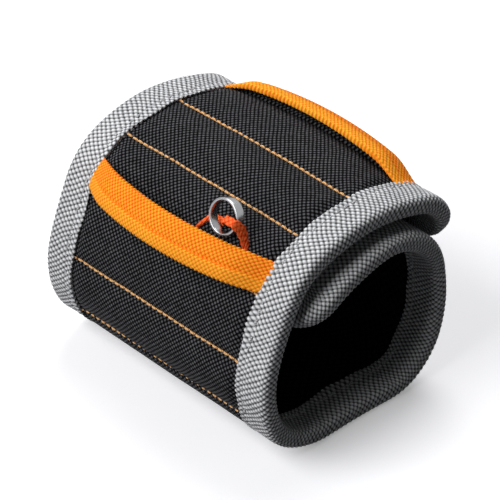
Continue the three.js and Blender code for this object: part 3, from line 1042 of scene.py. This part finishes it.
def keeper_line(sizes):
    """Middle of the keeper: it runs low under one side of the ring, climbs through its hole and falls
    back to the cover past the other side. Both ends dive under the webbing."""
    grid_step = 0.0001
    rim = sizes.ring_depth / 2 + KEEPER_GAP
    top = KEEPER_LOW + KEEPER_THICKNESS + KEEPER_SLACK
    edge = ((ring_height(sizes) - top) * math.cos(RING_TILT) - rim) / math.sin(RING_TILT)
    shift = edge - KEEPER_WIDTH / 2
    lean = (shift - KEEPER_WIDTH / 2) * math.tan(RING_TILT)
    high = ring_height(sizes) + rim / math.cos(RING_TILT) - lean
    offset = steps(-KEEPER_REACH, KEEPER_REACH, grid_step)
    quarter = sizes.ring_diameter / 4
    rise = smooth(offset, -quarter, quarter)
    fall = smooth(offset, 2 * quarter + KEEPER_GAP, KEEPER_REACH - KEEPER_THICKNESS)
    dive = KEEPER_DIVE * smooth(np.abs(offset), KEEPER_TURN, KEEPER_REACH)
    height = KEEPER_LOW + (high - KEEPER_LOW) * (rise - fall) + KEEPER_MIDDLE
    return offset, RING_ALONG + shift + dive, height


def keeper_piece(sizes, look):
    """Braided keeper: an oval carried along the keeper's line, swollen where its strands cross on top and
    fuller towards both ends."""
    oval_points, oval_width, oval_height = 28, 0.0010, 0.00055
    strand_length, girth_least, girth_gain = 0.00075, 0.8, 0.25
    knot_gain, knot_start, knot_end = 0.55, 0.0052, 0.0078
    end_squareness, end_tip, map_radius = 12, 0.05, 0.0011
    offset, along, height = keeper_line(sizes)
    length = run_length(place(along, RING_ACROSS + offset, height))[:, None]
    angle = around(oval_points)[None, :]
    offset, along, height = offset[:, None], along[:, None], height[:, None]
    twist = length / strand_length
    strand = np.abs(np.sin(twist + angle)) * np.abs(np.sin(twist - angle))
    knot = knot_gain * smooth(np.abs(offset), knot_start, knot_end)
    ends = np.sqrt(np.clip(1 - (np.abs(offset) / KEEPER_REACH) ** end_squareness, end_tip, 1))
    girth = (girth_least + girth_gain * np.sqrt(strand)) * (1 + knot) * ends
    wide = oval_width * girth * np.cos(angle)
    tall = oval_height * girth * np.sin(angle)
    points = place(along + wide, RING_ACROSS + offset, height + tall)
    half = oval_points // 2
    uv = columns(angle * map_radius, length)
    upper, lower = points[:, :half], points[:, half:][:, ::-1]
    piece = walled_piece("ring_keeper_braid", upper, lower, uv[:, :half], [look])
    stand_for(piece, "ring_keeper", "upper")


def patch_piece(name, node, body, start, end, bottom, outwards, pile, look):
    """Patch of hook or loop pile: a slab that follows the band. Its open face, the outer or the inner one,
    is roughened by the pile and falls off at its border."""
    along = steps(start, end, PATCH_STEP)[:, None]
    across = steps(-PATCH_HALF, PATCH_HALF, PATCH_STEP)[None, :]
    rough = pile * np.abs(ripple(along * PILE_RATE, seed=2.0) * ripple(across * PILE_RATE, seed=4.0))
    to_end = np.minimum(along - start, end - along)
    border = smooth(np.minimum(PATCH_HALF - np.abs(across), to_end), 0, PATCH_STEP)
    relief = rough - PATCH_BEVEL * (1 - border)
    top = bottom + PATCH_THICKNESS + (relief if outwards else 0)
    low = bottom - (0 if outwards else relief)
    outer, inner = place(along, across, top), place(along, across, low)
    piece = walled_piece(name, outer, inner, columns(along, across), [look])
    stand_for(piece, node, body)


def scene_sizes():
    """Sizes as the scene holds them."""
    return bpy.context.scene.wristband_sizes


def scene_colours():
    """Colours as the scene holds them."""
    return bpy.context.scene.wristband_colours


class WRISTBAND_OT_panels(bpy.types.Operator):
    """Quilted pads of the band with their nylon cover and lining"""

    bl_idname = "wristband.panels"
    bl_label = "Quilted Panels"

    def execute(self, context):
        looks = [nylon_look(scene_colours()), lining_look(scene_colours())]
        for section in SECTIONS:
            panel(section, scene_sizes(), looks)
        return {"FINISHED"}


class WRISTBAND_OT_tapes(bpy.types.Operator):
    """Folded grey tape round the edge of the band, with its seam"""

    bl_idname = "wristband.tapes"
    bl_label = "Edge Tape"

    def execute(self, context):
        thread_shade = 0.7
        look = tape_look(scene_colours())
        thread = thread_look("Grey Thread", [c * thread_shade for c in scene_colours().tape])
        for section in SECTIONS:
            tapes(section, scene_sizes(), look)
            tape_seam(section, scene_sizes(), thread)
        return {"FINISHED"}


class WRISTBAND_OT_seams(bpy.types.Operator):
    """Orange stitches across the band"""

    bl_idname = "wristband.seams"
    bl_label = "Sewn Lines"

    def execute(self, context):
        look = thread_look("Orange Thread", scene_colours().thread)
        for section in SECTIONS:
            cross_seam(section, scene_sizes(), look)
        return {"FINISHED"}


class WRISTBAND_OT_webbing(bpy.types.Operator):
    """Orange webbing loops on the top and the front"""

    bl_idname = "wristband.webbing"
    bl_label = "Webbing Loops"

    def execute(self, context):
        look = webbing_look(scene_colours())
        sizes = scene_sizes()
        webbing_loop("webbing_top", "top_webbing_loop", "flap", centre=TOP_LOOP,
                     bow=0.004, sag=0.0, sizes=sizes, look=look)
        webbing_loop("webbing_front", "front_webbing_loop", "upper", centre=FRONT_LOOP,
                     bow=0.005, sag=0.003, sizes=sizes, look=look)
        return {"FINISHED"}


class WRISTBAND_OT_ring(bpy.types.Operator):
    """Steel ring and the braided keeper that holds it"""

    bl_idname = "wristband.ring"
    bl_label = "Ring and Keeper"

    def execute(self, context):
        colours = scene_colours()
        ring_piece(scene_sizes(), steel_look("Ring Steel", colours.steel, scale=160.0))
        keeper_piece(scene_sizes(), braid_look(colours))
        return {"FINISHED"}


class WRISTBAND_OT_patches(bpy.types.Operator):
    """Hook and loop patches of the closure"""

    bl_idname = "wristband.patches"
    bl_label = "Hook and Loop"

    def execute(self, context):
        hooks = pile_look("Hook Pile", scale=900.0, dark=0.004, light=0.03, depth=0.0003)
        loops = pile_look("Loop Pile", scale=600.0, dark=0.006, light=0.05, depth=0.0004)
        start, end = SEWN_LINES[0] + PATCH_MARGIN, SEWN_LINES[2] - PATCH_MARGIN
        patch_piece("hook_pile", "hook_patch", "flap", start, end,
                    bottom=-0.0069, outwards=False, pile=0.0002, look=hooks)
        start = float(STARTS[TONGUE_STRETCH + 1]) + PATCH_MARGIN
        end = BAND_LENGTH - scene_sizes().tape_width - PATCH_MARGIN
        patch_piece("loop_pile", "loop_patch", "back", start, end,
                    bottom=0.0003, outwards=True, pile=0.0003, look=loops)
        return {"FINISHED"}


class WRISTBAND_OT_magnets(bpy.types.Operator):
    """Nickel plating on the sewn-in magnets"""

    bl_idname = "wristband.magnets"
    bl_label = "Magnets"

    def execute(self, context):
        look = steel_look("Magnet Nickel", scene_colours().magnet, scale=240.0)
        for name, node in frame["nodes"].items():
            if "_magnet_" in name:
                node.data.materials.clear()
                node.data.materials.append(look)
        return {"FINISHED"}


def add_aimed(name, data, spot):
    """Camera or lamp at a spot, turned to the middle of the loop."""
    thing = bpy.data.objects.new(name, data)
    thing.location = spot
    thing.rotation_euler = (Vector(spot) - Vector(LOOP_MIDDLE)).to_track_quat("Z", "Y").to_euler()
    bpy.context.scene.collection.objects.link(thing)
    return thing


def add_camera():
    """Long lens at the photograph's angle."""
    level = math.cos(CAMERA_ELEVATION)
    back = Vector((math.sin(CAMERA_AZIMUTH) * level, -math.cos(CAMERA_AZIMUTH) * level,
                   math.sin(CAMERA_ELEVATION)))
    data = bpy.data.cameras.new("Camera")
    data.lens = CAMERA_LENS
    bpy.context.scene.camera = add_aimed("Camera", data, Vector(LOOP_MIDDLE) + back * CAMERA_DISTANCE)


def add_lamp(name, spot, size, watts):
    """Square soft lamp."""
    data = bpy.data.lights.new(name, "AREA")
    data.size = size
    data.energy = watts
    add_aimed(name, data, spot)


def studio_world():
    """White surroundings that light the cloth only faintly."""
    world = bpy.data.worlds.new("Studio")
    world.use_nodes = True
    shading = Shading(world.node_tree)
    strength = shading.math("MAXIMUM", shading.seen_directly(), WORLD_UNSEEN)
    shading.feed(world.node_tree.nodes["Background"], {"Color": WHITE, "Strength": strength})
    return world


def add_floor():
    """Wide pale floor under the loop. Seen straight or in metal it is near white; it throws back less
    light than that, so that the shaded side stays dark."""
    look, shading, shader = new_look("Pale Floor")
    seen = shading.seen_directly()
    shading.feed(shader, {
        "Base Color": shading.ramp(seen, greys((0.0, FLOOR_UNSEEN), (1.0, FLOOR_SEEN))),
        "Emission Color": WHITE,
        "Emission Strength": shading.math("MULTIPLY", seen, FLOOR_GLOW),
        "Roughness": 0.9,
        "Specular IOR Level": 0.0,
    })
    corners = FLOOR_REACH * np.array([(-1, -1, 0), (1, -1, 0), (1, 1, 0), (-1, 1, 0)], float)
    floor = add_object("floor", corners, [[0, 1, 2, 3]], np.zeros((4, 2)), [look])


class WRISTBAND_OT_stage(bpy.types.Operator):
    """Floor, soft lamps, world and camera"""

    bl_idname = "wristband.stage"
    bl_label = "Stage"

    def execute(self, context):
        add_camera()
        add_floor()
        add_lamp("Key Lamp", spot=(-0.25, -0.80, 0.72), size=0.9, watts=13.0)
        add_lamp("Back Lamp", spot=(-0.35, 0.55, 0.90), size=0.8, watts=8.0)
        context.scene.world = studio_world()
        context.scene.view_settings.view_transform = "Standard"
        return {"FINISHED"}


class WRISTBAND_PT_sidebar(bpy.types.Panel):
    """Sizes, colours and pieces of the wristband"""

    bl_idname = "WRISTBAND_PT_sidebar"
    bl_label = "Magnetic Wristband"
    bl_space_type = "VIEW_3D"
    bl_region_type = "UI"
    bl_category = "Wristband"

    def draw(self, context):
        for group in (context.scene.wristband_sizes, context.scene.wristband_colours):
            for name in group.__annotations__:
                self.layout.prop(group, name)
        for operator in OPERATORS:
            self.layout.operator(operator.bl_idname)


OPERATORS = (
    WRISTBAND_OT_panels,
    WRISTBAND_OT_tapes,
    WRISTBAND_OT_seams,
    WRISTBAND_OT_webbing,
    WRISTBAND_OT_ring,
    WRISTBAND_OT_patches,
    WRISTBAND_OT_magnets,
    WRISTBAND_OT_stage,
)
CLASSES = (WristbandSizes, WristbandColours, *OPERATORS, WRISTBAND_PT_sidebar)


def register():
    """Adds the classes, and puts the sizes and colours on the scene."""
    for cls in CLASSES:
        bpy.utils.register_class(cls)
    bpy.types.Scene.wristband_sizes = bpy.props.PointerProperty(type=WristbandSizes)
    bpy.types.Scene.wristband_colours = bpy.props.PointerProperty(type=WristbandColours)


def unregister():
    """Takes away what register added."""
    del bpy.types.Scene.wristband_colours
    del bpy.types.Scene.wristband_sizes
    for cls in reversed(CLASSES):
        bpy.utils.unregister_class(cls)


def main():
    """Builds every piece and the stage."""
    register()
    bpy.ops.wristband.panels()
    bpy.ops.wristband.tapes()
    bpy.ops.wristband.seams()
    bpy.ops.wristband.webbing()
    bpy.ops.wristband.ring()
    bpy.ops.wristband.patches()
    bpy.ops.wristband.magnets()
    bpy.ops.wristband.stage()


if __name__ == "__main__":
    main()
